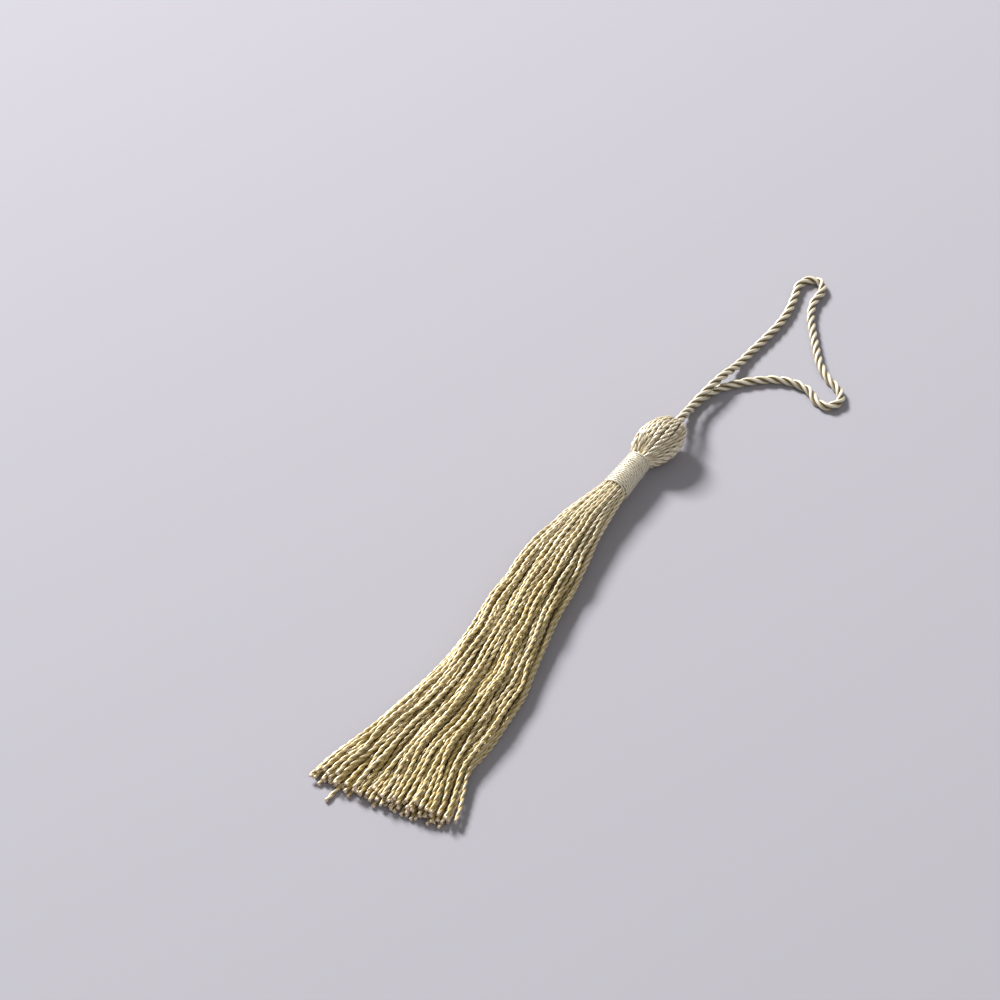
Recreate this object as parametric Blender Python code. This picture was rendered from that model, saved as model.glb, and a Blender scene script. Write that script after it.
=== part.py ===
"""A silk tassel with a hanging loop of twisted cord, lying on a flat surface.

Eighty lengths of twisted silk yarn hang from the fold in the head, are bound round the neck, and
spread on the surface to their cut ends. +Y runs from the cut ends to the head, +Z is up and the
surface is at z = 0. Every size is in millimetres and becomes metres where a mesh is made.
"""

import math
from collections import namedtuple

import bpy
import bmesh
import numpy as np
from mathutils import Vector

MM = 0.001
GAP = 0.3

# Strand bundle: the head, the bound neck and the spreading skirt
STRANDS = 80
RIDGES = 26
NECK_BOTTOM_Y = 40.7
NECK_MIDDLE_Y = 46.6
NECK_TOP_Y = 52.4
SKIRT_START_Y = 35.0

Section = namedtuple("Section", "y centre_x half_width bottom height squareness")
ROUND = 2.0
SETTLED = 6.0

# The skirt's own cross-sections, from just inside its fused root down to the cut ends. Their
# underside is round at the root and grows squarer as the strands settle on the surface.
SKIRT = [
    Section(36.0, -0.95, 3.55, 0.60, 6.1, ROUND),
    Section(29.0, -1.70, 4.80, 0.00, 7.0, 2.6),
    Section(20.0, -1.75, 6.30, 0.00, 7.7, 4.0),
    Section(10.0, -1.50, 7.50, 0.00, 7.9, SETTLED),
    Section(-1.0, -1.00, 8.05, 0.00, 7.8, SETTLED),
    Section(-12.0, 0.40, 8.80, 0.00, 7.4, SETTLED),
    Section(-23.0, 1.25, 10.00, 0.00, 6.8, SETTLED),
    Section(-34.0, 0.40, 11.20, 0.00, 6.1, SETTLED),
    Section(-45.0, -1.00, 12.00, 0.00, 5.4, SETTLED),
    Section(-56.0, -0.90, 15.30, 0.00, 4.5, SETTLED),
]

# The head and the neck's core, from the lip of the recess that takes the cord down to the skirt
Ring = namedtuple("Ring", "y centre_x centre_z half_width half_height ridge")
HOLE_X = 2.6
HOLE_Z = 5.2
HOLE_RADIUS = 2.45
HOLE_FLOOR_Y = 62.6
HEAD = [
    Ring(HOLE_FLOOR_Y, HOLE_X, HOLE_Z, 2.40, 2.40, 0.00),
    Ring(64.4, HOLE_X, HOLE_Z, HOLE_RADIUS, HOLE_RADIUS, 0.00),
    Ring(65.0, HOLE_X, HOLE_Z, 2.85, 2.85, 0.06),
    Ring(64.5, 2.50, 5.05, 3.40, 3.35, 0.12),
    Ring(63.1, 2.25, 4.90, 4.15, 4.10, 0.17),
    Ring(61.1, 1.90, 4.80, 4.72, 4.65, 0.18),
    Ring(58.9, 1.50, 4.75, 4.90, 4.80, 0.18),
    Ring(56.5, 1.10, 4.60, 4.55, 4.50, 0.18),
    Ring(54.5, 0.75, 4.35, 3.80, 3.80, 0.16),
    Ring(53.2, 0.50, 4.10, 2.95, 2.95, 0.12),
]
CORE = [
    Ring(NECK_TOP_Y + 0.2, 0.30, 3.95, 2.00, 2.00, 0.00),
    Ring(NECK_MIDDLE_Y, 0.00, 3.80, 2.10, 2.10, 0.00),
    Ring(NECK_BOTTOM_Y - 0.2, -0.35, 3.65, 2.40, 2.40, 0.00),
    Ring(39.6, -0.45, 3.63, 2.85, 2.85, 0.10),
    Ring(37.6, -0.75, 3.63, 3.20, 3.00, 0.12),
    Ring(SKIRT_START_Y, -1.05, 3.62, 3.70, 3.22, 0.12),
]

# Cut ends: the cut runs a little aslant, and upper strands fall short of lower ones
CUT_Y = -61.4
CUT_SLANT = 0.08
CUT_CURVE = 0.004
CUT_PER_HEIGHT = 0.45
CUT_UNEVEN = 1.0
SHORTEST_END = 0.6
STRAY_END = (-9.5, -65.2)

# Strand section and packing
STRAND_WIDTH = 0.80
STRAND_SHARE = 0.56
STRAND_GAP = 0.06
LAYOUT_SEED = 7
DRIFT = 0.16
DRIFT_WAVES = (0.4, 1.1)
EVENING = 0.20
SINK = 0.004
ON_THE_SURFACE = -0.9
LOOSE_PASSES = 160
CLEARING_PASSES = 340
CLEARING_STEP = 0.55
CHECKED_BETWEEN = np.arange(0.0, 1.0, 0.125)

# Neck binding: a sleeve of close turns of fine thread round the strands
BINDING_WALL = 0.55
BINDING_SWELL = 0.1
BINDING_SIDES = 32
BINDING_EDGE = 0.18

# Cord: three plies laid right-handed, one open length that leaves the head and comes back to it
CORD_DIAMETER = 2.0
CORD_PLIES = 3
CORD_LAY = 7.8
STEPS_PER_LAY = 10
CORD_SECTION = [(-0.2, CORD_DIAMETER / 2), (0.2, CORD_DIAMETER / 2), (0.5, 0.68)]
FLOOR_Z = CORD_DIAMETER / 2
CORD_ROUTE = [
    (3.10, 62.9, 6.20), (3.10, 65.6, 6.20), (2.95, 69.2, 5.55), (2.50, 73.2, 4.05), (2.35, 77.4, 3.25),
    (2.75, 81.4, 3.20), (3.25, 85.4, 3.20), (3.80, 89.2, 2.85), (4.25, 93.2, 1.90), (4.55, 97.2, 1.20),
    (5.00, 102.0, FLOOR_Z), (5.85, 108.0, FLOOR_Z), (6.40, 114.0, FLOOR_Z), (6.20, 119.6, FLOOR_Z),
    (5.30, 124.8, FLOOR_Z), (4.50, 129.0, FLOOR_Z), (5.80, 132.0, FLOOR_Z), (8.60, 132.4, FLOOR_Z),
    (10.30, 129.4, FLOOR_Z), (10.20, 125.0, FLOOR_Z), (11.70, 119.8, FLOOR_Z), (14.60, 114.6, FLOOR_Z),
    (17.80, 109.4, FLOOR_Z), (21.00, 104.6, FLOOR_Z), (24.50, 101.2, FLOOR_Z), (28.50, 98.5, FLOOR_Z),
    (30.20, 95.2, FLOOR_Z), (28.50, 92.2, FLOOR_Z), (25.30, 92.8, FLOOR_Z), (22.40, 95.2, FLOOR_Z),
    (18.40, 96.0, FLOOR_Z), (14.00, 95.0, FLOOR_Z), (10.00, 92.4, FLOOR_Z), (6.60, 89.2, FLOOR_Z),
    (4.00, 85.9, FLOOR_Z), (2.30, 82.2, FLOOR_Z), (1.45, 77.6, FLOOR_Z), (1.45, 73.4, 1.80),
    (1.85, 69.2, 3.30), (2.10, 65.6, 4.20), (2.10, 62.9, 4.20),
]
ROUTE_SAMPLES = 24

SILK = (0.60, 0.47, 0.26, 1.0)
SILK_CORD = (0.72, 0.62, 0.42, 1.0)
SILK_BINDING = (0.68, 0.57, 0.37, 1.0)


def clear_scene():
    for obj in list(bpy.data.objects):
        bpy.data.objects.remove(obj)


def silk_material(name, colour, roughness):
    material = bpy.data.materials.new(name)
    material.use_nodes = True
    shader = material.node_tree.nodes["Principled BSDF"]
    shader.inputs["Base Color"].default_value = colour
    shader.inputs["Roughness"].default_value = roughness
    shader.inputs["Metallic"].default_value = 0.0
    return material


def add_object(name, bm, material):
    """One named object from a bmesh in millimetres."""
    bmesh.ops.scale(bm, vec=Vector((MM, MM, MM)), verts=bm.verts)
    bmesh.ops.recalc_face_normals(bm, faces=bm.faces)
    mesh = bpy.data.meshes.new(name)
    bm.to_mesh(mesh)
    bm.free()
    mesh.materials.append(material)
    obj = bpy.data.objects.new(name, mesh)
    bpy.context.scene.collection.objects.link(obj)
    return obj


def strand_width(section):
    """A strand is squeezed where the bundle is narrow and has its full width further down."""
    area = math.pi * section.half_width * section.height / 2
    return min(STRAND_WIDTH, math.sqrt(STRAND_SHARE * area / STRANDS) - STRAND_GAP)


def overlaps(places, spacing):
    """How far each of the square strands must move so that no two overlap, each pair sharing it."""
    offset = places[:, None, :] - places[None, :, :]
    overlap = spacing - np.abs(offset)
    touching = (overlap[:, :, 0] > 0) & (overlap[:, :, 1] > 0)
    np.fill_diagonal(touching, False)
    sideways = touching & (overlap[:, :, 0] <= overlap[:, :, 1])
    upright = touching & ~sideways
    way = np.where(offset >= 0, 0.5, -0.5)
    across = np.where(sideways, way[:, :, 0] * overlap[:, :, 0], 0.0).sum(axis=1)
    along_z = np.where(upright, way[:, :, 1] * overlap[:, :, 1], 0.0).sum(axis=1)
    return np.stack([across, along_z], axis=1)


def keep_inside(shares, squareness):
    """Brings strands back into the unit section, which is round above and squarer below."""
    shares = np.clip(shares, -1.0, 1.0)
    power = np.where(shares[:, 1:] < 0, squareness, ROUND)
    size = (np.abs(shares) ** power).sum(axis=1, keepdims=True) ** (1 / power)
    outside = size > 1.0
    pulled = shares / np.where(outside, size, 1.0)
    grounded = shares[:, 1:] < ON_THE_SURFACE
    return np.where(outside & ~grounded, pulled, shares)


def loose_shares():
    """Every strand's place in the unit section, wandering a little on its way down."""
    spread = np.random.default_rng(LAYOUT_SEED)
    count = np.arange(STRANDS)
    radius = np.sqrt((count + 0.5) / STRANDS)
    angle = count * math.pi * (3 - math.sqrt(5))
    start = np.stack([radius * np.cos(angle), radius * np.sin(angle)], axis=1)
    phase = spread.uniform(0, 2 * math.pi, (STRANDS, 2))
    waves = spread.uniform(*DRIFT_WAVES, (STRANDS, 2))
    along = np.linspace(0, 1, len(SKIRT))[:, None, None]
    return start + DRIFT * along * np.sin(phase + 2 * math.pi * waves * along)


def pack_strands():
    """The centre (x, z) of every strand in every skirt section, with the strands' widths."""
    shares = loose_shares()
    widths = np.array([strand_width(section) for section in SKIRT])
    sizes = np.array([(section.half_width, section.height / 2) for section in SKIRT])
    sizes = (sizes - widths[:, None] / 2)[:, None, :]
    middles = np.array([(section.centre_x, section.bottom + section.height / 2) for section in SKIRT])
    middles = middles[:, None, :]
    settling = np.array([section.squareness - ROUND for section in SKIRT])[:, None] / (SETTLED - ROUND)
    for step in range(LOOSE_PASSES + CLEARING_PASSES):
        if step < LOOSE_PASSES:
            shares[1:-1] += EVENING * (shares[:-2] - 2 * shares[1:-1] + shares[2:])
            shares[:, :, 1] -= SINK * settling
        places = shares * sizes
        moves = np.zeros_like(places)
        for row in range(len(SKIRT) - 1):
            for share in CHECKED_BETWEEN:
                between = places[row] * (1 - share) + places[row + 1] * share
                spacing = widths[row] * (1 - share) + widths[row + 1] * share + STRAND_GAP
                move = overlaps(between, spacing)
                moves[row] += (1 - share) * move
                moves[row + 1] += share * move
        moves[-1] += overlaps(places[-1], widths[-1] + STRAND_GAP)
        shares = (places + CLEARING_STEP * moves) / sizes
        for row, section in enumerate(SKIRT):
            shares[row] = keep_inside(shares[row], section.squareness)
    return shares * sizes + middles, widths


def cut_ends(places):
    """Where each strand ends, (x, y, z): it runs on from the last section the way it was going."""
    uneven = np.random.default_rng(11).uniform(-CUT_UNEVEN, CUT_UNEVEN, STRANDS)
    last, before = places[-1], places[-2]
    slope = (last - before)[:, 0] / (SKIRT[-1].y - SKIRT[-2].y)
    cut = CUT_Y + CUT_SLANT * last[:, 0] + CUT_CURVE * last[:, 0] ** 2
    end_y = cut + CUT_PER_HEIGHT * last[:, 1] + uneven
    end_y = np.minimum(end_y, SKIRT[-1].y - SHORTEST_END)
    low = last[:, 1] < STRAND_WIDTH
    stray = int(np.argmin(np.where(low, np.abs(last[:, 0] - STRAY_END[0]), 1e3)))
    end_y[stray] = STRAY_END[1]
    end_x = last[:, 0] + slope * (end_y - SKIRT[-1].y)
    return np.stack([end_x, end_y, last[:, 1]], axis=1)


def square_ring(bm, x, y, z, width):
    half = width / 2
    corners = [(-half, -half), (half, -half), (half, half), (-half, half)]
    return [bm.verts.new((x + dx, y, z + dz)) for dx, dz in corners]


def join_rings(bm, first, second):
    count = len(first)
    for side in range(count):
        ahead = (side + 1) % count
        bm.faces.new((first[side], first[ahead], second[ahead], second[side]))


def build_strands():
    """All the skirt's strands as separate square rods, their roots inside the fused backing."""
    places, widths = pack_strands()
    ends = cut_ends(places)
    bm = bmesh.new()
    for strand in range(STRANDS):
        rings = []
        for row, section in enumerate(SKIRT):
            x, z = places[row, strand]
            rings.append(square_ring(bm, x, section.y, z, widths[row]))
        rings.append(square_ring(bm, *ends[strand], widths[-1]))
        for first, second in zip(rings, rings[1:]):
            join_rings(bm, first, second)
        bm.faces.new(rings[0])
        bm.faces.new(rings[-1])
    return bm


def ridged_ring(bm, ring):
    """A ring of points round the bundle, in and out once for each strand that shows."""
    points = []
    for step in range(2 * RIDGES):
        angle = math.pi * step / RIDGES
        ridge = ring.ridge if step % 2 == 0 else -ring.ridge
        x = ring.centre_x + (ring.half_width + ridge) * math.cos(angle)
        z = ring.centre_z + (ring.half_height + ridge) * math.sin(angle)
        points.append(bm.verts.new((x, ring.y, max(z, 0.0))))
    return points


def build_backing():
    """The head, the core under the binding and the fused top of the skirt, as one closed body."""
    bm = bmesh.new()
    rings = [ridged_ring(bm, ring) for ring in HEAD + CORE]
    for first, second in zip(rings, rings[1:]):
        join_rings(bm, first, second)
    bm.faces.new(rings[0])
    bm.faces.new(rings[-1])
    return bm


def build_bundle(material):
    bundle = add_object("strand_bundle", build_backing(), material)
    strands = add_object("loose_strands", build_strands(), material)
    strands.hide_render = True
    strands.display_type = "WIRE"
    join = bundle.modifiers.new("strands", "BOOLEAN")
    join.operation = "UNION"
    join.solver = "EXACT"
    join.use_self = True
    join.object = strands
    return bundle


def core_at(y):
    rows = np.array([ring for ring in CORE])[::-1]
    return tuple(float(np.interp(y, rows[:, 0], rows[:, column])) for column in (1, 2, 3))


def build_binding():
    """A sleeve that follows the neck's core, a gap outside it, with softened ends."""
    outline = [
        (NECK_BOTTOM_Y, 0.0), (NECK_BOTTOM_Y, BINDING_WALL - BINDING_EDGE),
        (NECK_BOTTOM_Y + BINDING_EDGE, BINDING_WALL), (NECK_MIDDLE_Y, BINDING_WALL + BINDING_SWELL),
        (NECK_TOP_Y - BINDING_EDGE, BINDING_WALL), (NECK_TOP_Y, BINDING_WALL - BINDING_EDGE),
        (NECK_TOP_Y, 0.0), (NECK_MIDDLE_Y, 0.0),
    ]
    bm = bmesh.new()
    rings = []
    for y, outward in outline:
        centre_x, centre_z, radius = core_at(y)
        reach = radius + GAP + outward
        ring = []
        for side in range(BINDING_SIDES):
            angle = 2 * math.pi * side / BINDING_SIDES
            place = (centre_x + reach * math.cos(angle), y, centre_z + reach * math.sin(angle))
            ring.append(bm.verts.new(place))
        rings.append(ring)
    for first, second in zip(rings, rings[1:] + rings[:1]):
        join_rings(bm, first, second)
    return bm


def smooth_route(route):
    """Points close together on a smooth curve through the route's own points."""
    points = np.array([route[0], *route, route[-1]], float)
    points[0] = 2 * points[1] - points[2]
    points[-1] = 2 * points[-2] - points[-3]
    share = np.linspace(0, 1, ROUTE_SAMPLES, endpoint=False)[:, None]
    curve = []
    for before, start, end, after in zip(points, points[1:], points[2:], points[3:]):
        bend = 2 * before - 5 * start + 4 * end - after
        twist = -before + 3 * start - 3 * end + after
        curve.append(0.5 * (2 * start + (end - before) * share + bend * share**2 + twist * share**3))
    curve = np.concatenate([*curve, points[-2:-1]])
    curve[:, 2] = np.maximum(curve[:, 2], FLOOR_Z)
    return curve


def evenly_spaced(curve, step):
    lengths = np.linalg.norm(np.diff(curve, axis=0), axis=1)
    along = np.concatenate([[0], np.cumsum(lengths)])
    places = np.linspace(0, along[-1], round(along[-1] / step) + 1)
    return np.stack([np.interp(places, along, curve[:, axis]) for axis in range(3)], axis=1)


def cord_section():
    """Angle and radius of each point round the plies: two on every ply and one in every groove."""
    points = []
    for ply in range(CORD_PLIES):
        for share, radius in CORD_SECTION:
            points.append((2 * math.pi * (ply + share) / CORD_PLIES, radius))
    return points


def frames_along(places):
    """Side and upward directions at every point of a line, carried along it without a turn."""
    tangents = np.gradient(places, axis=0)
    tangents /= np.linalg.norm(tangents, axis=1, keepdims=True)
    side = np.cross((0.0, 0.0, 1.0), tangents[0])
    sides = []
    for tangent in tangents:
        side = side - tangent * np.dot(side, tangent)
        side = side / np.linalg.norm(side)
        sides.append(side)
    sides = np.array(sides)
    return sides, np.cross(tangents, sides)


def build_cord():
    """The hanging loop: a section of three plies that turns once for each lay of the rope."""
    places = evenly_spaced(smooth_route(CORD_ROUTE), CORD_LAY / STEPS_PER_LAY)
    sides, ups = frames_along(places)
    bm = bmesh.new()
    rings = []
    for number, (place, side, up) in enumerate(zip(places, sides, ups)):
        turn = 2 * math.pi * number / STEPS_PER_LAY
        ring = []
        for angle, radius in cord_section():
            outward = side * math.cos(angle + turn) + up * math.sin(angle + turn)
            ring.append(bm.verts.new(place + radius * outward))
        rings.append(ring)
    for first, second in zip(rings, rings[1:]):
        join_rings(bm, first, second)
    bm.faces.new(rings[0])
    bm.faces.new(rings[-1])
    return bm


def main():
    clear_scene()
    build_bundle(silk_material("silk_strands", SILK, 0.42))
    binding = add_object("neck_binding", build_binding(), silk_material("silk_thread", SILK_BINDING, 0.38))
    binding.data.shade_smooth()
    add_object("cord_loop", build_cord(), silk_material("silk_cord", SILK_CORD, 0.40))


main()
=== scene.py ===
"""A silk tassel with a hanging loop of twisted cord, lying on a pale floor, in metres."""

import math
from collections import namedtuple

import bpy
import bmesh
import numpy as np
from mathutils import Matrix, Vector


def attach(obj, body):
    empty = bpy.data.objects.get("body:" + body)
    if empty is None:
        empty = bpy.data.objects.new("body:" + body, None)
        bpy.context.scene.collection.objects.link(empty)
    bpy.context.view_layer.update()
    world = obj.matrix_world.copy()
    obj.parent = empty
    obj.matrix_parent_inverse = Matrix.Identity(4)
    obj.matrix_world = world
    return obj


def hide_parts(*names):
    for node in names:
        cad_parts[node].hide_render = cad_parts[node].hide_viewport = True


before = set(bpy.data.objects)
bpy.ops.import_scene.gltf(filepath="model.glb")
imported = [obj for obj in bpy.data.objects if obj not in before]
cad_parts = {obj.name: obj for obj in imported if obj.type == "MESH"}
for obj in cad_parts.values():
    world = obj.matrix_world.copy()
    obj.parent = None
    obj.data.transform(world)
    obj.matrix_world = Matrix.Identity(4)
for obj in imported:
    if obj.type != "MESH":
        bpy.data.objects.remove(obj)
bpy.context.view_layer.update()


# Camera. The tassel is seen from its cut ends' side, from above and a little to its right,
# through a long lens that stands well back.
LOOK_AT = Vector((-0.0229, 0.0299, 0.0))
AZIMUTH = math.radians(28.5)
ELEVATION = math.radians(43.0)
DISTANCE = 0.70
FIELD_OF_VIEW = math.radians(18.0)

lens = bpy.data.cameras.new("camera")
lens.sensor_width = 36.0
lens.lens = 18.0 / math.tan(FIELD_OF_VIEW / 2)
lens.clip_start = 0.01
lens.clip_end = 10.0
camera = bpy.data.objects.new("camera", lens)
backwards = Vector((
    math.sin(AZIMUTH) * math.cos(ELEVATION),
    -math.cos(AZIMUTH) * math.cos(ELEVATION),
    math.sin(ELEVATION),
))
camera.location = LOOK_AT + DISTANCE * backwards
camera.rotation_euler = (-backwards).to_track_quat("-Z", "Y").to_euler()
bpy.context.scene.collection.objects.link(camera)
bpy.context.scene.camera = camera


# Hanging cord. Three plies of silk are laid right-handed into a 2 mm cord. It leaves the hole in
# the head, lies on the floor in a pointed loop and comes back under itself to the same hole.
# Its sizes are in metres.
MM = 0.001
CORD_DIAMETER = 0.0020
CORD_PLIES = 3
CORD_PLY_RADIUS = 0.00047
CORD_PLY_OFFSET = 0.00053
CORD_LAY = 0.0090
CORD_STEP = 0.00035
CORD_TONE = 1.0
# The cord's plies take the deep colour over a wide share of their flanks: painted shade on the
# sides turned from the light and in the grooves.
CORD_SHOULDER = 0.74
KNOT_STEPS = 24
CORD_ROUTE = [
    (0.00310, 0.0629, 0.00620), (0.00310, 0.0656, 0.00620), (0.00295, 0.0692, 0.00555),
    (0.00250, 0.0732, 0.00405), (0.00235, 0.0774, 0.00325), (0.00275, 0.0814, 0.00320),
    (0.00325, 0.0854, 0.00320), (0.00380, 0.0892, 0.00285), (0.00425, 0.0932, 0.00190),
    (0.00455, 0.0972, 0.00120), (0.00500, 0.1020, 0.00100), (0.00585, 0.1080, 0.00100),
    (0.00640, 0.1140, 0.00100), (0.00620, 0.1196, 0.00100), (0.00530, 0.1248, 0.00100),
    (0.00450, 0.1290, 0.00100), (0.00580, 0.1320, 0.00100), (0.00860, 0.1324, 0.00100),
    (0.01030, 0.1294, 0.00100), (0.01020, 0.1250, 0.00100), (0.01170, 0.1198, 0.00100),
    (0.01460, 0.1146, 0.00100), (0.01780, 0.1094, 0.00100), (0.02100, 0.1046, 0.00100),
    (0.02450, 0.1012, 0.00100), (0.02850, 0.0985, 0.00100), (0.03020, 0.0952, 0.00100),
    (0.02850, 0.0922, 0.00100), (0.02530, 0.0928, 0.00100), (0.02240, 0.0952, 0.00100),
    (0.01840, 0.0960, 0.00100), (0.01400, 0.0950, 0.00100), (0.01000, 0.0924, 0.00100),
    (0.00660, 0.0892, 0.00100), (0.00400, 0.0859, 0.00100), (0.00230, 0.0822, 0.00100),
    (0.00145, 0.0776, 0.00100), (0.00145, 0.0734, 0.00180), (0.00185, 0.0692, 0.00330),
    (0.00210, 0.0656, 0.00420), (0.00210, 0.0629, 0.00420),
]


def smooth_line(points, step):
    """Evenly spaced places on a smooth curve through the given points."""
    ends = [2 * np.array(points[0]) - points[1], 2 * np.array(points[-1]) - points[-2]]
    knots = np.array([ends[0], *points, ends[1]], float)
    share = np.linspace(0, 1, KNOT_STEPS, endpoint=False)[:, None]
    stretches = []
    for before, start, end, after in zip(knots, knots[1:], knots[2:], knots[3:]):
        bend = 2 * before - 5 * start + 4 * end - after
        swing = -before + 3 * start - 3 * end + after
        stretches.append(
            0.5 * (2 * start + (end - before) * share + bend * share**2 + swing * share**3)
        )
    curve = np.concatenate([*stretches, knots[-2:-1]])
    along = np.concatenate([[0], np.cumsum(np.linalg.norm(np.diff(curve, axis=0), axis=1))])
    places = np.linspace(0, along[-1], round(along[-1] / step) + 1)
    return np.stack([np.interp(places, along, curve[:, axis]) for axis in range(curve.shape[1])], 1)


def carried_directions(line):
    """Two directions across a line at each of its places, carried along it without a turn."""
    tangents = np.gradient(line, axis=0)
    tangents /= np.linalg.norm(tangents, axis=1, keepdims=True)
    side = np.cross((0.0, 0.0, 1.0), tangents[0])
    sides = []
    for tangent in tangents:
        side = side - tangent * np.dot(side, tangent)
        side = side / np.linalg.norm(side)
        sides.append(side)
    sides = np.array(sides)
    return sides, np.cross(tangents, sides)


Ply = namedtuple("Ply", "line radius core reach tone")


def lay_plies(core, plies, offset, radius, lay, start, tone):
    """The plies laid right-handed round the core line of a yarn or cord, each with its own line,
    radius and tone and the yarn's whole reach. offset, radius and tone are single values or one
    for each place."""
    sides, ups = carried_directions(core)
    run = np.concatenate([[0], np.cumsum(np.linalg.norm(np.diff(core, axis=0), axis=1))])
    offset = np.broadcast_to(offset, len(core))
    radius = np.broadcast_to(radius, len(core))
    tone = np.broadcast_to(tone, len(core))
    laid = []
    for ply in range(plies):
        angle = start + 2 * math.pi * (ply / plies + run / lay)
        across = sides * np.cos(angle)[:, None] + ups * np.sin(angle)[:, None]
        laid.append(Ply(core + across * offset[:, None], radius, core, offset + radius, tone))
    return laid


# How far out of a yarn's grooves the painted groove shade fades into the lit colour, as a share of
# the yarn's reach.
CREST_WIDTH = 0.30
TONE_SHIFT = 37


def spin_plies(name, plies, sides, shoulder, cut_length=0.0):
    """One mesh of closed tubes with so many sides for the plies. It keeps each ply's tone and,
    for the filaments, the place round it and along it in millimetres. It also keeps how far each
    point stands out of the yarn's grooves, from the shoulder's share of the yarn's reach, which the
    silk uses to paint shade into the grooves, and how near it is to the cut end."""
    curve = bpy.data.curves.new(name, "CURVE")
    curve.dimensions = "3D"
    curve.twist_mode = "MINIMUM"
    curve.bevel_depth = 1.0
    curve.bevel_resolution = (sides - 4) // 2
    for ply in plies:
        spline = curve.splines.new("POLY")
        spline.points.add(len(ply.line) - 1)
        flat = np.concatenate([ply.line, np.ones((len(ply.line), 1))], axis=1)
        spline.points.foreach_set("co", flat.ravel())
        spline.points.foreach_set("radius", ply.radius.copy())
        spline.use_smooth = True
    holder = bpy.data.objects.new(name + "_line", curve)
    bpy.context.scene.collection.objects.link(holder)
    bpy.context.view_layer.update()
    shown = holder.evaluated_get(bpy.context.evaluated_depsgraph_get())
    mesh = bpy.data.meshes.new_from_object(shown)
    bpy.data.objects.remove(holder)
    mesh.name = name

    turns = 2 * math.pi * np.arange(sides) / sides
    places = np.empty(3 * len(mesh.vertices))
    mesh.vertices.foreach_get("co", places)
    places = places.reshape(-1, sides, 3)
    fibre, tone, cut, crest = [], [], [], []
    first = 0
    for ply in plies:
        run = np.concatenate([[0], np.cumsum(np.linalg.norm(np.diff(ply.line, axis=0), axis=1))])
        place = np.empty((len(run), sides, 3))
        place[:, :, 0] = np.cos(turns)
        place[:, :, 1] = np.sin(turns)
        place[:, :, 2] = run[:, None] / MM + TONE_SHIFT * ply.tone[0]
        fibre.append(place.reshape(-1, 3))
        tone.append(np.repeat(ply.tone, sides))
        near_end = 1 - np.clip((run[-1] - run) / cut_length, 0, 1) if cut_length else 0 * run
        cut.append(np.repeat(near_end, sides))
        out = np.linalg.norm(places[first:first + len(run)] - ply.core[:, None], axis=2)
        crest.append(np.clip((out / ply.reach[:, None] - shoulder) / CREST_WIDTH, 0, 1).ravel())
        first += len(run)
    vectors = mesh.attributes.new("fibre", "FLOAT_VECTOR", "POINT")
    vectors.data.foreach_set("vector", np.concatenate(fibre).ravel())
    for label, values in (("tone", tone), ("cut", cut), ("crest", crest)):
        kept = mesh.attributes.new(label, "FLOAT", "POINT")
        kept.data.foreach_set("value", np.concatenate(values))
    bm = bmesh.new()
    bm.from_mesh(mesh)
    bmesh.ops.holes_fill(bm, edges=[edge for edge in bm.edges if edge.is_boundary])
    bm.to_mesh(mesh)
    bm.free()
    mesh.shade_smooth()
    piece = bpy.data.objects.new(name, mesh)
    bpy.context.scene.collection.objects.link(piece)
    return piece


def join(links, *pairs):
    for source, target in pairs:
        links.new(source, target)


# Colour of painted bounce light, which lightens the silk where its tone is over 1.
BOUNCE_LIT_SILK = (0.92, 0.83, 0.64, 1)
CUT_SILK = (0.72, 0.58, 0.42, 1)
SCALE_ALONG = 0.35
WEAK_FILAMENT, STRONG_FILAMENT = 0.3, 0.7
FILAMENT_SHARE, TONE_SHARE = 0.45, 0.55
ROUGHEST, SMOOTHEST = 0.46, 0.32
FILAMENT_HEIGHT = 0.00004


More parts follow.
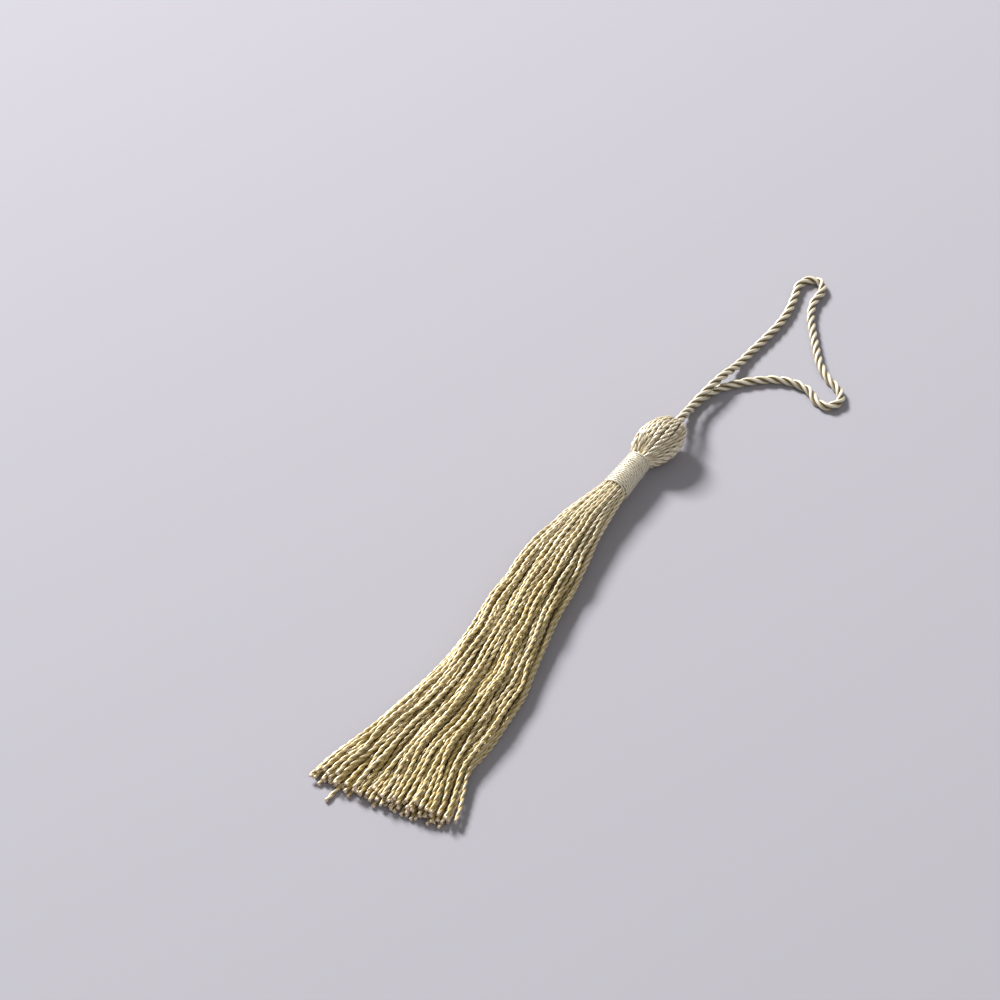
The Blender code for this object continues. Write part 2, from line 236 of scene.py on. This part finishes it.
def fibre_group():
    """Silk's fine parallel filaments: their colour from deep to lit, the deep colour painted as
    shade in the yarn's grooves, lightened by painted bounce light where the tone is over 1, the dry
    look of a cut end, and their gloss and relief."""
    group = bpy.data.node_groups.new("silk_filaments", "ShaderNodeTree")
    for name, kind in (
        ("Deep", "NodeSocketColor"), ("Lit", "NodeSocketColor"), ("Bounce lit", "NodeSocketColor"),
        ("Cut end", "NodeSocketColor"),
        ("Filaments", "NodeSocketFloat"), ("Relief", "NodeSocketFloat"),
    ):
        group.interface.new_socket(name, in_out="INPUT", socket_type=kind)
    for name, kind in (
        ("Colour", "NodeSocketColor"), ("Gloss", "NodeSocketFloat"), ("Normal", "NodeSocketVector"),
    ):
        group.interface.new_socket(name, in_out="OUTPUT", socket_type=kind)
    nodes, links = group.nodes, group.links
    given = nodes.new("NodeGroupInput")
    result = nodes.new("NodeGroupOutput")
    stored = {}
    for name in ("fibre", "tone", "crest", "cut"):
        stored[name] = nodes.new("ShaderNodeAttribute")
        stored[name].attribute_name = name
    stretch = nodes.new("ShaderNodeCombineXYZ")
    stretch.inputs["Z"].default_value = SCALE_ALONG
    drawn = nodes.new("ShaderNodeVectorMath")
    drawn.operation = "MULTIPLY"
    filaments = nodes.new("ShaderNodeTexNoise")
    filaments.inputs["Scale"].default_value = 1.0
    filaments.inputs["Detail"].default_value = 3.0
    filaments.inputs["Roughness"].default_value = 0.6
    spread = nodes.new("ShaderNodeMapRange")
    spread.inputs["From Min"].default_value = WEAK_FILAMENT
    spread.inputs["From Max"].default_value = STRONG_FILAMENT
    strand_share = nodes.new("ShaderNodeMath")
    strand_share.operation = "MULTIPLY"
    strand_share.inputs[1].default_value = TONE_SHARE
    shade = nodes.new("ShaderNodeMath")
    shade.operation = "MULTIPLY_ADD"
    shade.inputs[1].default_value = FILAMENT_SHARE
    # The crest share: where it is low, in the grooves, the colour stays deep, as painted shade.
    raised = nodes.new("ShaderNodeMath")
    raised.operation = "MULTIPLY"
    # What the tone has over 1 lightens the lit colour towards the painted bounce light.
    over = nodes.new("ShaderNodeMath")
    over.operation = "SUBTRACT"
    over.use_clamp = True
    over.inputs[1].default_value = 1.0
    bounce_lit = nodes.new("ShaderNodeMix")
    bounce_lit.data_type = "RGBA"
    # From the deep colour, painted shade in the grooves, to the lit one on the crests.
    groove_shaded = nodes.new("ShaderNodeMix")
    groove_shaded.data_type = "RGBA"
    ended = nodes.new("ShaderNodeMix")
    ended.data_type = "RGBA"
    gloss = nodes.new("ShaderNodeMapRange")
    gloss.inputs["To Min"].default_value = ROUGHEST
    gloss.inputs["To Max"].default_value = SMOOTHEST
    bump = nodes.new("ShaderNodeBump")
    bump.inputs["Distance"].default_value = FILAMENT_HEIGHT
    join(
        links,
        (given.outputs["Filaments"], stretch.inputs["X"]),
        (given.outputs["Filaments"], stretch.inputs["Y"]),
        (stored["fibre"].outputs["Vector"], drawn.inputs[0]),
        (stretch.outputs["Vector"], drawn.inputs[1]),
        (drawn.outputs["Vector"], filaments.inputs["Vector"]),
        (filaments.outputs["Fac"], spread.inputs["Value"]),
        (stored["tone"].outputs["Fac"], strand_share.inputs[0]),
        (spread.outputs["Result"], shade.inputs[0]),
        (strand_share.outputs["Value"], shade.inputs[2]),
        (shade.outputs["Value"], raised.inputs[0]),
        (stored["crest"].outputs["Fac"], raised.inputs[1]),
        (raised.outputs["Value"], groove_shaded.inputs["Factor"]),
        (given.outputs["Deep"], groove_shaded.inputs["A"]),
        (stored["tone"].outputs["Fac"], over.inputs[0]),
        (over.outputs["Value"], bounce_lit.inputs["Factor"]),
        (given.outputs["Lit"], bounce_lit.inputs["A"]),
        (given.outputs["Bounce lit"], bounce_lit.inputs["B"]),
        (bounce_lit.outputs["Result"], groove_shaded.inputs["B"]),
        (stored["cut"].outputs["Fac"], ended.inputs["Factor"]),
        (groove_shaded.outputs["Result"], ended.inputs["A"]),
        (given.outputs["Cut end"], ended.inputs["B"]),
        (ended.outputs["Result"], result.inputs["Colour"]),
        (spread.outputs["Result"], gloss.inputs["Value"]),
        (gloss.outputs["Result"], result.inputs["Gloss"]),
        (filaments.outputs["Fac"], bump.inputs["Height"]),
        (given.outputs["Relief"], bump.inputs["Strength"]),
        (bump.outputs["Normal"], result.inputs["Normal"]),
    )
    return group


silk_filaments = fibre_group()


def silk(name, deep, lit, filaments, relief):
    """One look of the tassel's silk, from the deep colour painted as shade in its grooves to the
    lit one of its crests, with so many filaments to the millimetre and so strong a relief. The
    lighter looks of the head, binding and cord are the same silk with painted bounce light."""
    material = bpy.data.materials.new(name)
    material.use_nodes = True
    tree = material.node_tree
    shader = tree.nodes["Principled BSDF"]
    shader.inputs["Metallic"].default_value = 0.15
    shader.inputs["Specular IOR Level"].default_value = 0.75
    shader.inputs["Coat Weight"].default_value = 0.3
    shader.inputs["Coat Roughness"].default_value = 0.25
    fibres = tree.nodes.new("ShaderNodeGroup")
    fibres.node_tree = silk_filaments
    fibres.inputs["Deep"].default_value = deep
    fibres.inputs["Lit"].default_value = lit
    fibres.inputs["Bounce lit"].default_value = BOUNCE_LIT_SILK
    fibres.inputs["Cut end"].default_value = CUT_SILK
    fibres.inputs["Filaments"].default_value = filaments
    fibres.inputs["Relief"].default_value = relief
    join(
        tree.links,
        (fibres.outputs["Colour"], shader.inputs["Base Color"]),
        (fibres.outputs["Gloss"], shader.inputs["Roughness"]),
        (fibres.outputs["Normal"], shader.inputs["Normal"]),
    )
    return material


# The cord's near-white lit colour is the silk lightened by painted bounce light; its dark deep
# colour is painted shade.
cord_silk = silk(
    "cord_silk", (0.155, 0.105, 0.03, 1), (1.0, 0.93, 0.74, 1), filaments=3.2, relief=0.4
)
cord_line = smooth_line(CORD_ROUTE, CORD_STEP)
cord_line[:, 2] = np.maximum(cord_line[:, 2], CORD_DIAMETER / 2)
cord_plies = lay_plies(
    cord_line, CORD_PLIES, CORD_PLY_OFFSET, CORD_PLY_RADIUS, CORD_LAY, start=0.0, tone=CORD_TONE
)
cord = spin_plies("hanging_cord", cord_plies, sides=12, shoulder=CORD_SHOULDER)
cord.data.materials.append(cord_silk)
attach(cord, "root")
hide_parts("cord_loop")


# Skirt. Eighty two-ply silk strands, laid right-handed, hang from the neck. They are squeezed thin
# under the binding, lie in a loose heap of a few locks on the floor and fan out to their cut ends.
# Sizes are in millimetres. The plies' radius and offset are shares of the strand's radius.
STRANDS = 80
LOCKS = 9
STRAND_RADIUS = 0.47
STRAND_SPACING = 2.10
STRAND_LAY = 4.4
STRAND_STEP = 0.44
PLY_RADIUS = 0.63
PLY_OFFSET = 0.37
STRAND_SHOULDER = 0.64
LAY_UNEVEN = (0.92, 1.08)
CUT_END_LENGTH = 0.9
# Painted bounce light: the strands' tone is raised over 1 towards the neck, up to this much, from
# this height.
BOUNCE_LIGHT = 1.3
BOUNCE_LIGHT_FROM = 5.0
SKIRT_PIECES = 4
Section = namedtuple("Section", "y centre_x half_width bottom height squareness")
SKIRT = [
    Section(44.0, -0.20, 2.45, 1.20, 5.0, 2.0),
    Section(40.5, -0.40, 2.95, 0.75, 5.9, 2.0),
    Section(36.0, -0.95, 3.75, 0.50, 6.5, 2.0),
    Section(29.0, -1.70, 4.95, 0.00, 7.2, 2.6),
    Section(20.0, -1.75, 6.40, 0.00, 7.8, 4.0),
    Section(10.0, -1.50, 7.60, 0.00, 7.9, 6.0),
    Section(-1.0, -1.00, 8.10, 0.00, 7.8, 6.0),
    Section(-12.0, 0.40, 8.85, 0.00, 7.4, 6.0),
    Section(-23.0, 1.25, 10.05, 0.00, 6.8, 6.0),
    Section(-34.0, 0.40, 11.20, 0.00, 6.1, 6.0),
    Section(-45.0, -1.00, 12.05, 0.00, 5.4, 6.0),
    Section(-56.0, -0.90, 15.30, 0.00, 4.5, 6.0),
]
SKIRT_STEP = 5.0
FILL = 0.54
RIM_CROWDING = 0.33
LOCK_REACH = 0.95
OPENING = 3
LOCK_SWAY = 0.13
LOCK_TURNS = (0.5, 1.2)
LOCK_PINCH = 0.12
STRAND_SWAY = 0.15
STRAND_TURNS = (0.6, 2.0)
KINK = 0.45
KINK_UNEVEN = (0.2, 1.0)
KINK_TURNS = (4.0, 8.0)
SETTLING_ROUNDS = 300
SMOOTHING_ROUNDS = 140
SMOOTHING = 0.12
SINKING = 0.004
PUSH = 0.3
FLAT_BELOW = -0.9
SIDE_STRANDS = 3
SIDE_SQUEEZE = 0.75
CUT_Y = -61.4
CUT_SLANT = 0.08
CUT_CURVE = 0.004
CUT_PER_HEIGHT = 0.45
CUT_UNEVEN = 1.0
SHORTEST_END = 0.6
TIP_SPREAD = 0.6
TIP_DROP = (0.8, 1.0)
STRAY_END = (-9.5, -65.2)


def sunflower(count, outward):
    """Places spread over a unit disc, evenly where outward is 0.5 and closer together near its rim
    where it is less."""
    number = np.arange(count)
    reach = ((number + 0.5) / count) ** outward
    angle = number * math.pi * (3 - math.sqrt(5))
    return np.stack([reach * np.cos(angle), reach * np.sin(angle)], axis=1)


def section_rows():
    """The skirt's sections at even steps from the neck to the last one."""
    table = np.array(SKIRT)[::-1]
    steps = round((SKIRT[0].y - SKIRT[-1].y) / SKIRT_STEP)
    places = np.linspace(SKIRT[0].y, SKIRT[-1].y, steps + 1)
    columns = [np.interp(places, table[:, 0], table[:, column]) for column in range(1, 6)]
    return places, np.stack(columns, axis=1)


def push_apart(spots, spacing):
    """Moves round strands in one section a little way out of each other."""
    offset = spots[:, None] - spots[None]
    distance = np.linalg.norm(offset, axis=2) + 1e-9
    overlap = np.clip(spacing - distance, 0, None)
    np.fill_diagonal(overlap, 0)
    return spots + PUSH * (offset / distance[:, :, None] * overlap[:, :, None]).sum(axis=1)


def keep_inside(shares, squareness):
    """Brings strands back into the unit section, which is round above and squarer below."""
    shares = np.clip(shares, -1, 1)
    power = np.where(shares[:, :, 1:] < 0, squareness[:, None, None], 2.0)
    size = (np.abs(shares) ** power).sum(axis=2, keepdims=True) ** (1 / power)
    outside = (size > 1) & (shares[:, :, 1:] > FLAT_BELOW)
    return np.where(outside, shares / np.maximum(size, 1), shares)


def settle_strands():
    """Where each strand lies at every step, in millimetres, and how thick it is there."""
    places, rows = section_rows()
    chance = np.random.default_rng(5)
    start = sunflower(STRANDS, RIM_CROWDING)
    centres = LOCK_REACH * sunflower(LOCKS, 0.5)
    lock = np.argmin(np.linalg.norm(start[:, None] - centres[None], axis=2), axis=1)
    along = np.linspace(0, 1, len(places))[:, None, None]
    opening = np.minimum(along * OPENING, 1)

    def waves(count, few_and_many):
        phase = chance.uniform(0, 2 * math.pi, (count, 2))
        turns = chance.uniform(*few_and_many, (count, 2))
        return np.sin(phase + 2 * math.pi * turns * along)

    lock_sway = waves(LOCKS, LOCK_TURNS)[:, lock]
    strand_sway = waves(STRANDS, STRAND_TURNS)
    pinch = centres[lock] - start
    sway = LOCK_SWAY * lock_sway + LOCK_PINCH * pinch + STRAND_SWAY * strand_sway
    shares = start + opening * sway
    area = math.pi / 2 * rows[:, 1] * rows[:, 3]
    radii = np.minimum(STRAND_RADIUS, np.sqrt(FILL * area / STRANDS / math.pi))
    half = (np.stack([rows[:, 1], rows[:, 3] / 2], axis=1) - radii[:, None])[:, None]
    middle = np.stack([rows[:, 0], rows[:, 2] + rows[:, 3] / 2], axis=1)[:, None]
    settling = ((rows[:, 4] - 2) / 4)[:, None]
    strength = KINK * chance.uniform(*KINK_UNEVEN, (STRANDS, 1))
    kinks = strength * waves(STRANDS, KINK_TURNS) * opening
    for step in range(SETTLING_ROUNDS):
        if step < SMOOTHING_ROUNDS:
            shares[1:-1] += SMOOTHING * (shares[:-2] - 2 * shares[1:-1] + shares[2:])
            shares[:, :, 1] -= SINKING * settling
        if step == SMOOTHING_ROUNDS:
            shares = shares + kinks / half
        spots = shares * half
        for row in range(len(places)):
            spots[row] = push_apart(spots[row], STRAND_SPACING * radii[row])
        shares = keep_inside(spots / half, rows[:, 4])
    in_order = np.sort(shares[:, :, 0], axis=1)
    left = in_order[:, :SIDE_STRANDS].mean(axis=1)[:, None]
    right = in_order[:, -SIDE_STRANDS:].mean(axis=1)[:, None]
    across = (2 * shares[:, :, 0] - left - right) / (right - left)
    past = np.clip(np.abs(across) - 1, 0, None)
    shares[:, :, 0] = across - SIDE_SQUEEZE * np.sign(across) * past
    return places, shares * half + middle, radii


def cut_strands():
    """The line of every strand from inside the binding to its cut end, in metres, and its radii."""
    places, spots, radii = settle_strands()
    chance = np.random.default_rng(11)
    uneven = chance.uniform(-CUT_UNEVEN, CUT_UNEVEN, STRANDS)
    last, before = spots[-1], spots[-3]
    ends = CUT_Y + CUT_SLANT * last[:, 0] + CUT_CURVE * last[:, 0] ** 2
    ends = np.minimum(ends + CUT_PER_HEIGHT * last[:, 1] + uneven, places[-1] - SHORTEST_END)
    low = last[:, 1] < 2 * STRAND_RADIUS
    stray = int(np.argmin(np.where(low, np.abs(last[:, 0] - STRAY_END[0]), np.inf)))
    ends[stray] = STRAY_END[1]
    slope = TIP_SPREAD * (last - before)[:, 0] / (places[-1] - places[-3])
    lines, thickness = [], []
    for strand in range(STRANDS):
        points = [(x, y, z) for (x, z), y in zip(spots[:, strand], places)]
        tip_x = last[strand, 0] + slope[strand] * (ends[strand] - places[-1])
        tip_z = last[strand, 1] * chance.uniform(*TIP_DROP)
        points.append((tip_x, ends[strand], tip_z))
        line = smooth_line(np.array(points), STRAND_STEP)
        radius = np.interp(-line[:, 1], -places, radii)
        line[:, 2] = np.maximum(line[:, 2], radius)
        lines.append(line * MM)
        thickness.append(radius * MM)
    return lines, thickness


def twist_strand(line, radius, lay, chance, darkest, bounce_light=0.0):
    """The two plies of a strand, with a tone from the darkest to 1 and over 1 by what is given, as
    painted bounce light.
    """
    start, tone = chance.uniform(0, math.pi), chance.uniform(darkest, 1.0) + bounce_light
    return lay_plies(line, 2, PLY_OFFSET * radius, PLY_RADIUS * radius, lay * MM, start, tone)


# The deep colour is painted shade in the plies' grooves.
strand_silk = silk(
    "strand_silk", (0.37, 0.255, 0.045, 1), (0.665, 0.585, 0.42, 1), filaments=2.2, relief=0.2
)
skirt_lines, skirt_radii = cut_strands()
chance = np.random.default_rng(3)
order = np.argsort([line[len(line) // 2, 0] for line in skirt_lines])
for number, group in enumerate(np.array_split(order, SKIRT_PIECES)):
    plies = []
    for strand in group:
        lay = STRAND_LAY * chance.uniform(*LAY_UNEVEN)
        line, radius = skirt_lines[strand], skirt_radii[strand]
        # Painted bounce light, growing towards the neck.
        bounce_light = BOUNCE_LIGHT * np.clip((line[:, 1] / MM - BOUNCE_LIGHT_FROM) / (SKIRT[0].y - BOUNCE_LIGHT_FROM), 0, 1)
        plies += twist_strand(line, radius, lay, chance, darkest=0.0, bounce_light=bounce_light)
    strands = spin_plies(
        f"skirt_strands_{number + 1}", plies, sides=8, shoulder=STRAND_SHOULDER,
        cut_length=CUT_END_LENGTH * MM,
    )
    strands.data.materials.append(strand_silk)
    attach(strands, "root")
    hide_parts("strand_bundle")


# Head. The same strands, folded over the cord, bulge out above the neck and close round the cord
# at the top. An outer and an inner layer of them stand round a padded middle.
Bulge = namedtuple("Bulge", "y centre_x centre_z half_width half_height thickness")
HEAD = [
    Bulge(48.0, 0.05, 3.85, 1.70, 1.70, 0.34),
    Bulge(51.8, 0.25, 3.95, 2.05, 2.05, 0.36),
    Bulge(53.4, 0.50, 4.10, 2.95, 2.95, 0.40),
    Bulge(54.7, 0.75, 4.35, 3.85, 3.85, 0.44),
    Bulge(56.5, 1.10, 4.60, 4.60, 4.55, 0.47),
    Bulge(58.9, 1.50, 4.75, 5.00, 4.85, 0.48),
    Bulge(61.1, 1.90, 4.80, 4.85, 4.75, 0.48),
    Bulge(63.1, 2.25, 4.90, 4.25, 4.20, 0.46),
    Bulge(64.5, 2.50, 5.05, 3.45, 3.40, 0.42),
    Bulge(65.0, 2.60, 5.20, 2.60, 2.60, 0.38),
    Bulge(64.6, 2.60, 5.20, 1.95, 2.30, 0.34),
    Bulge(62.9, 2.60, 5.20, 1.75, 2.20, 0.30),
]
OUTER_STRANDS = 34
INNER_STRANDS = 28
INNER_SINK = 0.75
MIDDLE_SINK = 1.25
HEAD_STEP = 0.8 * STRAND_STEP
HEAD_SHOULDER = 0.62
HEAD_DARKEST = 0.3
HEAD_LAY_UNEVEN = (0.85, 1.0)
HEAD_TURN_UNEVEN = (-0.22, 0.22)
HEAD_SWAY = 0.10
HEAD_TWIST = 0.25
HEAD_PROUD = (-0.20, 0.16)
CLEFT_ANGLE = math.radians(104)
CLEFT_HALF_TURN = 0.50
CLEFT_Y = 53.5
CLEFT_HALF_LENGTH = 2.0
CLEFT_DEPTH = 1.9


def folded_strand(turn, sink, chance):
    """One strand of the head at a turn round it, sunk by so many millimetres under the outside."""
    sway = chance.uniform(-HEAD_SWAY, HEAD_SWAY)
    proud = chance.uniform(*HEAD_PROUD)
    points = []
    for number, ring in enumerate(HEAD):
        share = number / (len(HEAD) - 1)
        angle = turn + sway * math.sin(math.pi * share * 2) + HEAD_TWIST * (share - 0.5)
        aside = math.remainder(angle - CLEFT_ANGLE, 2 * math.pi) / CLEFT_HALF_TURN
        above = (ring.y - CLEFT_Y) / CLEFT_HALF_LENGTH
        cleft = CLEFT_DEPTH * math.exp(-aside**2 - above**2)
        inward = ring.thickness + sink + cleft - proud * math.sin(math.pi * share)
        x = ring.centre_x + (ring.half_width - inward) * math.cos(angle)
        z = ring.centre_z + (ring.half_height - inward) * math.sin(angle)
        points.append((x, ring.y, max(z, ring.thickness), ring.thickness))
    line = smooth_line(points, HEAD_STEP) * MM
    return line[:, :3], line[:, 3]


# Lighter than the skirt's silk, though the same silk: painted bounce light. Its deep colour is
# painted shade in the grooves.
head_silk = silk(
    "head_silk", (0.30, 0.215, 0.085, 1), (1.0, 0.94, 0.78, 1), filaments=2.2, relief=0.3
)
chance = np.random.default_rng(21)
plies = []
for count, sink in ((OUTER_STRANDS, 0.0), (INNER_STRANDS, INNER_SINK)):
    for strand in range(count):
        turn = 2 * math.pi * (strand + chance.uniform(*HEAD_TURN_UNEVEN)) / count
        line, radius = folded_strand(turn, sink, chance)
        lay = STRAND_LAY * chance.uniform(*HEAD_LAY_UNEVEN)
        plies += twist_strand(line, radius, lay, chance, HEAD_DARKEST)
head_strands = spin_plies("head_strands", plies, sides=8, shoulder=HEAD_SHOULDER)
head_strands.data.materials.append(head_silk)
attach(head_strands, "root")
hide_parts("strand_bundle")


# Padded middle of the head: the inner folds of the same strands, seen only between the outer ones.
# It carries no crest, so it takes the head silk's deep colour all over, a dark gold painted shade.
def turned_body(name, rings, segments):
    """A closed body through rings, each of (y, centre_x, centre_z, half_width, half_height)."""
    bm = bmesh.new()
    edges = []
    for y, centre_x, centre_z, half_width, half_height in rings:
        made = bmesh.ops.create_circle(bm, segments=segments, radius=1.0)["verts"]
        for vert in made:
            across, up = vert.co.x, vert.co.y
            vert.co = Vector((centre_x + half_width * across, y, centre_z + half_height * up)) * MM
        edges.append(list({edge for vert in made for edge in vert.link_edges}))
    for first, second in zip(edges, edges[1:]):
        bmesh.ops.bridge_loops(bm, edges=first + second)
    bmesh.ops.contextual_create(bm, geom=edges[0])
    bmesh.ops.contextual_create(bm, geom=edges[-1])
    bmesh.ops.recalc_face_normals(bm, faces=bm.faces)
    mesh = bpy.data.meshes.new(name)
    bm.to_mesh(mesh)
    bm.free()
    mesh.shade_smooth()
    body = bpy.data.objects.new(name, mesh)
    bpy.context.scene.collection.objects.link(body)
    return body


middle_rings = []
for ring in HEAD[1:9]:
    half_width, half_height = ring.half_width - MIDDLE_SINK, ring.half_height - MIDDLE_SINK
    middle_rings.append((ring.y, ring.centre_x, ring.centre_z, half_width, half_height))
padding = turned_body("head_middle", middle_rings, segments=24)
padding.data.materials.append(head_silk)
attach(padding, "root")
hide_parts("strand_bundle")


# Neck binding. Two-ply silk thread is wound round the neck in close turns, over a first layer of
# the same thread, drawn as a smooth sleeve in the thread's deep colour: painted shade that shows
# between the turns. The thread's ends are drawn in under the turns.
Turn = namedtuple("Turn", "y centre_x centre_z radius")
NECK = [
    Turn(40.7, -0.35, 3.65, 3.22),
    Turn(46.6, 0.00, 3.80, 3.02),
    Turn(52.4, 0.30, 3.95, 2.86),
]
THREAD_RADIUS = 0.28
THREAD_PITCH = 0.62
THREAD_LAY = 2.1
THREAD_PLY_OFFSET = 0.24
THREAD_PLY_RADIUS = 0.76
THREAD_STEP = math.radians(6)
THREAD_TONE = 0.7
THREAD_SHOULDER = 0.63
PITCH_UNEVEN = (-0.05, 0.05)
REACH_UNEVEN = (-0.05, 0.03)
TUCK_DEPTH = 0.5
TUCK_ANGLE = math.radians(70)
LAYER_SINK = 0.40
LAYER_RIM_SINK = 1.2


def neck_at(y):
    """The binding's centre and outer radius at places along the neck."""
    table = np.array(NECK)
    return [np.interp(y, table[:, 0], table[:, column]) for column in (1, 2, 3)]


def wind_thread():
    """The line of the binding thread, turn by turn up the neck, with a slight unevenness."""
    chance = np.random.default_rng(9)
    low, high = NECK[0].y + THREAD_RADIUS, NECK[-1].y - THREAD_RADIUS
    turns = (high - low) / THREAD_PITCH
    angle = np.arange(0, 2 * math.pi * turns, THREAD_STEP)
    y = low + THREAD_PITCH * angle / (2 * math.pi)
    whole_turns = np.arange(0, turns + 2)

    def unevenness(least_and_most):
        at_turns = chance.uniform(*least_and_most, len(whole_turns))
        return np.interp(angle / (2 * math.pi), whole_turns, at_turns)

    y = y + unevenness(PITCH_UNEVEN)
    centre_x, centre_z, radius = neck_at(y)
    reach = radius - THREAD_RADIUS + unevenness(REACH_UNEVEN)
    ends = np.minimum(angle, angle[-1] - angle) / TUCK_ANGLE
    reach = reach - TUCK_DEPTH * (1 - np.clip(ends, 0, 1))
    return np.stack([centre_x + reach * np.cos(angle), y, centre_z + reach * np.sin(angle)], 1) * MM


# Lighter than the skirt's silk, though the same silk: painted bounce light. Its deep colour is
# painted shade in the grooves.
thread_silk = silk(
    "thread_silk", (0.27, 0.20, 0.09, 1), (1.0, 0.96, 0.83, 1), filaments=2.2, relief=0.3
)
thread_line = wind_thread()
ply_offset = THREAD_PLY_OFFSET * THREAD_RADIUS * MM
ply_radius = THREAD_PLY_RADIUS * THREAD_RADIUS * MM
thread_plies = lay_plies(
    thread_line, 2, ply_offset, ply_radius, THREAD_LAY * MM, start=0.0, tone=THREAD_TONE
)
thread = spin_plies("binding_thread", thread_plies, sides=8, shoulder=THREAD_SHOULDER)
thread.data.materials.append(thread_silk)
layer_rings = []
for y, sink in (
    (41.0, LAYER_RIM_SINK), (41.5, LAYER_SINK), (46.6, LAYER_SINK), (51.6, LAYER_SINK),
    (52.1, LAYER_RIM_SINK),
):
    centre_x, centre_z, radius = neck_at(y)
    layer_rings.append((y, centre_x, centre_z, radius - sink, radius - sink))
# The first layer carries no crest, so it takes the deep colour all over, as painted shade.
shaded_first_layer = turned_body("binding_shaded_first_layer", layer_rings, segments=32)
shaded_first_layer.data.materials.append(thread_silk)
for piece in (thread, shaded_first_layer):
    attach(piece, "root")
    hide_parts("neck_binding")


# Floor and light: a pale floor, a soft key from the upper left and a weak fill from the right.
bm = bmesh.new()
bmesh.ops.create_grid(bm, x_segments=1, y_segments=1, size=3.0)
floor_mesh = bpy.data.meshes.new("floor")
bm.to_mesh(floor_mesh)
bm.free()
floor = bpy.data.objects.new("floor", floor_mesh)
bpy.context.scene.collection.objects.link(floor)
floor_paint = bpy.data.materials.new("floor_paint")
floor_paint.use_nodes = True
floor_shader = floor_paint.node_tree.nodes["Principled BSDF"]
floor_shader.inputs["Base Color"].default_value = (0.30, 0.29, 0.32, 1)
floor_shader.inputs["Roughness"].default_value = 0.9
floor.data.materials.append(floor_paint)


def soft_light(name, place, size, power):
    light = bpy.data.lights.new(name, "AREA")
    light.size = size
    light.energy = power
    lamp = bpy.data.objects.new(name, light)
    lamp.location = place
    lamp.rotation_euler = (-Vector(place)).to_track_quat("-Z", "Y").to_euler()
    bpy.context.scene.collection.objects.link(lamp)


soft_light("key_light", (-1.70, 0.85, 1.45), size=0.65, power=135.0)
soft_light("fill_light", (1.6, -0.7, 1.4), size=1.8, power=12.0)
world = bpy.data.worlds.new("studio")
world.use_nodes = True
background = world.node_tree.nodes["Background"]
background.inputs["Color"].default_value = (1.0, 1.0, 1.0, 1.0)
background.inputs["Strength"].default_value = 0.34
bpy.context.scene.world = world
bpy.context.scene.view_settings.view_transform = "Standard"
